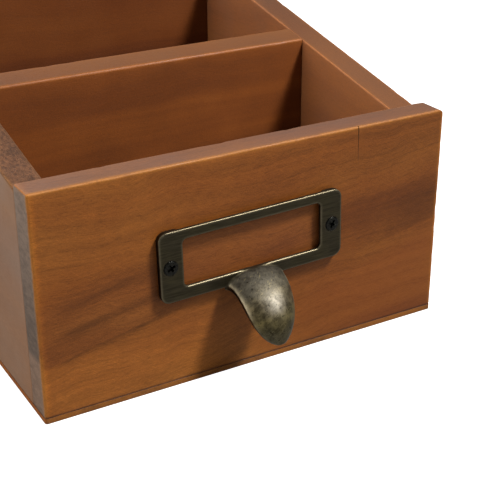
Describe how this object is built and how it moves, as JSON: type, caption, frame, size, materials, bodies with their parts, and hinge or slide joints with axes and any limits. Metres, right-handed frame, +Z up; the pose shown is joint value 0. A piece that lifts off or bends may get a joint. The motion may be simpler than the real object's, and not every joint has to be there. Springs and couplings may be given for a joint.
{
  "type": "desk organizer tray",
  "caption": "Open wooden desk organizer with full-width compartments, sides that climb towards the back, and a brass label holder with a finger pull on the front.",
  "frame": {"origin": "underside of the tray, at the middle of the front board's width and of the tray's depth", "axes": "+X along the front board to its right end, +Y from the front to the back, +Z up"},
  "size_m": [0.152, 0.1749, 0.1056],
  "materials": {
    "stained_wood": "walnut-brown stain over pale close-grained wood, satin, rubbed through to orange along the edges",
    "bottom_board": "thin stained board",
    "antique_brass": "antique brass, darkened in the flats and bright along the edges",
    "dark_screw_steel": "blackened steel",
    "brad_steel": "dull steel",
    "dowel_wood": "bare beech"
  },
  "bodies": {
    "root": {"front_panel": "stained_wood", "left_side_panel": "stained_wood", "right_side_panel": "stained_wood", "compartment_divider": "stained_wood", "back_panel": "stained_wood", "bottom_sheet": "bottom_board", "label_holder_pull": "antique_brass", "left_holder_screw": "dark_screw_steel", "right_holder_screw": "dark_screw_steel", "front_left_lower_dowel": "dowel_wood", "front_left_upper_dowel": "dowel_wood", "front_right_lower_dowel": "dowel_wood", "front_right_upper_dowel": "dowel_wood", "divider_left_brads": "brad_steel", "divider_right_brads": "brad_steel", "back_left_brads": "brad_steel", "back_right_brads": "brad_steel", "sheet_front_brads": "brad_steel", "sheet_left_brads": "brad_steel", "sheet_right_brads": "brad_steel", "sheet_divider_brads": "brad_steel", "sheet_back_brads": "brad_steel"}
  },
  "joints": []
}
